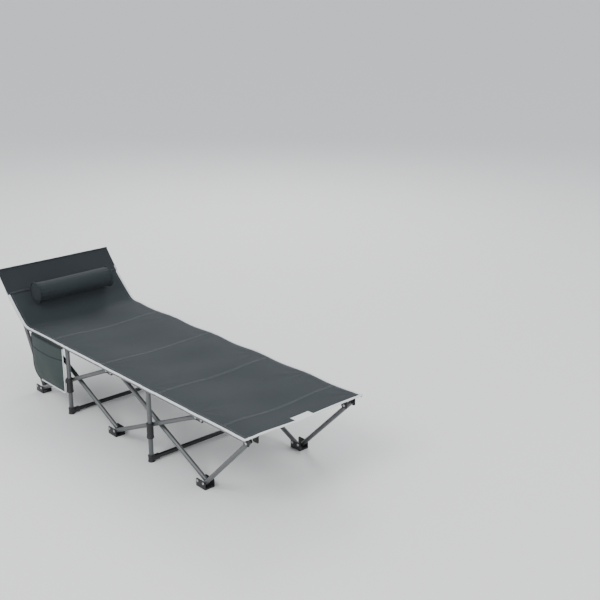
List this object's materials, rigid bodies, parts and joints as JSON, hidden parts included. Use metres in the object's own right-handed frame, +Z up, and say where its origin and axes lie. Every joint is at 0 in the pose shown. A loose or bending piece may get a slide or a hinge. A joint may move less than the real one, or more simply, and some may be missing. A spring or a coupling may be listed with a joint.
{
  "type": "folding cot",
  "caption": "Folding camp cot with a fabric deck on crossed-bar side frames, a raised head, a roll pillow and a hanging side pocket.",
  "frame": {"origin": "on the floor, under the middle of the whole cot", "axes": "+X from the raised head to the foot, +Y to the left side, +Z up"},
  "size_m": [1.8949, 0.6402, 0.5576],
  "materials": {
    "frame_paint": "satin grey powder coat",
    "black_plastic": "black moulded plastic",
    "sling_fabric": "slate woven polyester",
    "cover_fabric": "charcoal woven polyester",
    "pillow_fabric": "slate woven polyester, filled",
    "pocket_fabric": "green-grey twill"
  },
  "bodies": {
    "centre_shoes": {"centre_shoe_right": "black_plastic", "centre_shoe_left": "black_plastic"},
    "head_inner_bars": {"head_inner_bar_right": "frame_paint", "head_inner_bar_left": "frame_paint"},
    "head_outer_bars": {"head_outer_bar_right": "frame_paint", "head_outer_bar_left": "frame_paint"},
    "foot_outer_bars": {"foot_outer_bar_right": "frame_paint", "foot_outer_bar_left": "frame_paint"},
    "foot_inner_bars": {"foot_inner_bar_right": "frame_paint", "foot_inner_bar_left": "frame_paint"},
    "head_hubs": {"head_hub_right": "black_plastic", "head_hub_left": "black_plastic"},
    "foot_hubs": {"foot_hub_right": "black_plastic", "foot_hub_left": "black_plastic"},
    "head_post_frame": {"head_post_right": "frame_paint", "head_post_left": "frame_paint", "head_post_cap_right": "black_plastic", "head_post_cap_left": "black_plastic", "head_post_shoe_right": "black_plastic", "head_post_shoe_left": "black_plastic", "head_post_tie": "frame_paint"},
    "foot_post_frame": {"foot_post_right": "frame_paint", "foot_post_left": "frame_paint", "foot_post_cap_right": "black_plastic", "foot_post_cap_left": "black_plastic", "foot_post_shoe_right": "black_plastic", "foot_post_shoe_left": "black_plastic", "foot_post_tie": "frame_paint"},
    "head_brackets": {"head_bracket_right": "black_plastic", "head_bracket_left": "black_plastic", "side_pocket": "pocket_fabric"},
    "centre_brackets": {"centre_bracket_right": "black_plastic", "centre_bracket_left": "black_plastic"},
    "foot_brackets": {"foot_bracket_right": "black_plastic", "foot_bracket_left": "black_plastic"},
    "head_shoes": {"head_shoe_right": "black_plastic", "head_shoe_left": "black_plastic"},
    "foot_shoes": {"foot_shoe_right": "black_plastic", "foot_shoe_left": "black_plastic"},
    "head_props": {"head_prop_right": "frame_paint", "head_prop_left": "frame_paint"},
    "head_corners": {"head_corner_right": "black_plastic", "head_corner_left": "black_plastic", "head_rod": "frame_paint"},
    "foot_props": {"foot_prop_right": "frame_paint", "foot_prop_left": "frame_paint"},
    "foot_corners": {"foot_corner_right": "black_plastic", "foot_corner_left": "black_plastic"},
    "panel_head": {"sling_head_panel": "sling_fabric", "head_cover": "cover_fabric", "pillow": "pillow_fabric"},
    "panel_head_joint": {"sling_panel_head_joint": "sling_fabric"},
    "panel_head_post": {"sling_panel_head_post": "sling_fabric"},
    "panel_foot_post": {"sling_panel_foot_post": "sling_fabric"},
    "panel_foot_joint": {"sling_panel_foot_joint": "sling_fabric"},
    "panel_foot_corner": {"sling_panel_foot_corner": "sling_fabric"}
  },
  "joints": [
    {"name": "fold", "type": "hinge", "parent": "centre_shoes", "child": "head_inner_bars", "pos_m": [-0.02947, 0, 0.026], "axis": [0, 1, 0], "range_deg": [0, 53]},
    {"name": "foot_outer_bar_turn", "type": "hinge", "parent": "centre_shoes", "child": "foot_outer_bars", "pos_m": [0.00653, 0, 0.026], "axis": [0, 1, 0], "range_deg": [-53.05, 0]},
    {"name": "head_hub_turn", "type": "hinge", "parent": "head_inner_bars", "child": "head_hubs", "pos_m": [-0.33147, 0, 0.163], "axis": [0, 1, 0], "range_deg": [-53.05, 0]},
    {"name": "head_outer_bar_turn", "type": "hinge", "parent": "head_inner_bars", "child": "head_outer_bars", "pos_m": [-0.33147, 0, 0.163], "axis": [0, 1, 0], "range_deg": [-106.05, 0]},
    {"name": "head_post_slide", "type": "slide", "parent": "head_hubs", "child": "head_post_frame", "axis": [0, 0, 1], "range_m": [-0.08435, 0]},
    {"name": "head_bracket_turn", "type": "hinge", "parent": "head_inner_bars", "child": "head_brackets", "pos_m": [-0.63347, 0, 0.3], "axis": [0, 1, 0], "range_deg": [-53.05, 0]},
    {"name": "head_shoe_turn", "type": "hinge", "parent": "head_outer_bars", "child": "head_shoes", "pos_m": [-0.63347, 0, 0.026], "axis": [0, 1, 0], "range_deg": [0, 53.05]},
    {"name": "centre_bracket_turn", "type": "hinge", "parent": "head_outer_bars", "child": "centre_brackets", "pos_m": [-0.02947, 0, 0.3], "axis": [0, 1, 0], "range_deg": [0, 53.05]},
    {"name": "foot_hub_turn", "type": "hinge", "parent": "foot_outer_bars", "child": "foot_hubs", "pos_m": [0.30853, 0, 0.163], "axis": [0, 1, 0], "range_deg": [0, 53.05]},
    {"name": "foot_inner_bar_turn", "type": "hinge", "parent": "foot_outer_bars", "child": "foot_inner_bars", "pos_m": [0.30853, 0, 0.163], "axis": [0, 1, 0], "range_deg": [0, 106.05]},
    {"name": "foot_post_slide", "type": "slide", "parent": "foot_hubs", "child": "foot_post_frame", "axis": [0, 0, 1], "range_m": [-0.08435, 0]},
    {"name": "foot_bracket_turn", "type": "hinge", "parent": "foot_outer_bars", "child": "foot_brackets", "pos_m": [0.61053, 0, 0.3], "axis": [0, 1, 0], "range_deg": [0, 53.05]},
    {"name": "foot_shoe_turn", "type": "hinge", "parent": "foot_inner_bars", "child": "foot_shoes", "pos_m": [0.61053, 0, 0.026], "axis": [0, 1, 0], "range_deg": [-53.05, 0]},
    {"name": "head_prop_turn", "type": "hinge", "parent": "head_shoes", "child": "head_props", "pos_m": [-0.66947, 0, 0.026], "axis": [0, 1, 0], "range_deg": [0, 16.81]},
    {"name": "head_corner_turn", "type": "hinge", "parent": "head_props", "child": "head_corners", "pos_m": [-0.92724, 0, 0.51567], "axis": [0, 1, 0], "range_deg": [-103.92, 0]},
    {"name": "foot_prop_turn", "type": "hinge", "parent": "foot_shoes", "child": "foot_props", "pos_m": [0.64653, 0, 0.026], "axis": [0, 1, 0], "range_deg": [-36.84, 0]},
    {"name": "foot_corner_turn", "type": "hinge", "parent": "foot_props", "child": "foot_corners", "pos_m": [0.91853, 0, 0.3], "axis": [0, 1, 0], "range_deg": [0, 112.84]},
    {"name": "panel_head_turn", "type": "hinge", "parent": "head_brackets", "child": "panel_head", "pos_m": [-0.68147, 0, 0.3311], "axis": [0, 1, 0], "range_deg": [-87.16, 0], "deforming": ["sling_head_panel", "head_cover"]},
    {"name": "panel_head_joint_turn", "type": "hinge", "parent": "head_brackets", "child": "panel_head_joint", "pos_m": [-0.62147, 0, 0.3311], "axis": [0, 1, 0], "range_deg": [0, 80.65], "deforming": ["sling_panel_head_joint"]},
    {"name": "panel_head_post_turn", "type": "hinge", "parent": "centre_brackets", "child": "panel_head_post", "pos_m": [-0.04147, 0, 0.3311], "axis": [0, 1, 0], "range_deg": [-80.65, 0], "deforming": ["sling_panel_head_post"]},
    {"name": "panel_foot_post_turn", "type": "hinge", "parent": "centre_brackets", "child": "panel_foot_post", "pos_m": [0.01853, 0, 0.3311], "axis": [0, 1, 0], "range_deg": [0, 80.65], "deforming": ["sling_panel_foot_post"]},
    {"name": "panel_foot_joint_turn", "type": "hinge", "parent": "foot_brackets", "child": "panel_foot_joint", "pos_m": [0.59853, 0, 0.3311], "axis": [0, 1, 0], "range_deg": [-80.65, 0], "deforming": ["sling_panel_foot_joint"]},
    {"name": "panel_foot_corner_turn", "type": "hinge", "parent": "foot_brackets", "child": "panel_foot_corner", "pos_m": [0.65853, 0, 0.3311], "axis": [0, 1, 0], "range_deg": [0, 76.06], "deforming": ["sling_panel_foot_corner"]}
  ],
  "couplings": [
    {"joint": "foot_outer_bar_turn", "follows": "fold", "ratio": -1},
    {"joint": "head_hub_turn", "follows": "fold", "ratio": -1},
    {"joint": "head_outer_bar_turn", "follows": "fold", "ratio": -2},
    {"joint": "head_post_slide", "follows": "fold", "m_per_rad": -0.091},
    {"joint": "head_bracket_turn", "follows": "fold", "ratio": -1},
    {"joint": "head_shoe_turn", "follows": "fold", "ratio": 1},
    {"joint": "centre_bracket_turn", "follows": "fold", "ratio": 1},
    {"joint": "foot_hub_turn", "follows": "fold", "ratio": 1},
    {"joint": "foot_inner_bar_turn", "follows": "fold", "ratio": 2},
    {"joint": "foot_post_slide", "follows": "fold", "m_per_rad": -0.091},
    {"joint": "foot_bracket_turn", "follows": "fold", "ratio": 1},
    {"joint": "foot_shoe_turn", "follows": "fold", "ratio": -1},
    {"joint": "head_prop_turn", "follows": "fold", "ratio": 0.31628},
    {"joint": "head_corner_turn", "follows": "fold", "ratio": -1.9599},
    {"joint": "foot_prop_turn", "follows": "fold", "ratio": -0.69415},
    {"joint": "foot_corner_turn", "follows": "fold", "ratio": 2.1282},
    {"joint": "panel_head_turn", "follows": "fold", "ratio": -1.6436},
    {"joint": "panel_head_joint_turn", "follows": "fold", "ratio": 1.5207},
    {"joint": "panel_head_post_turn", "follows": "fold", "ratio": -1.5207},
    {"joint": "panel_foot_post_turn", "follows": "fold", "ratio": 1.5207},
    {"joint": "panel_foot_joint_turn", "follows": "fold", "ratio": -1.5207},
    {"joint": "panel_foot_corner_turn", "follows": "fold", "ratio": 1.4341}
  ]
}
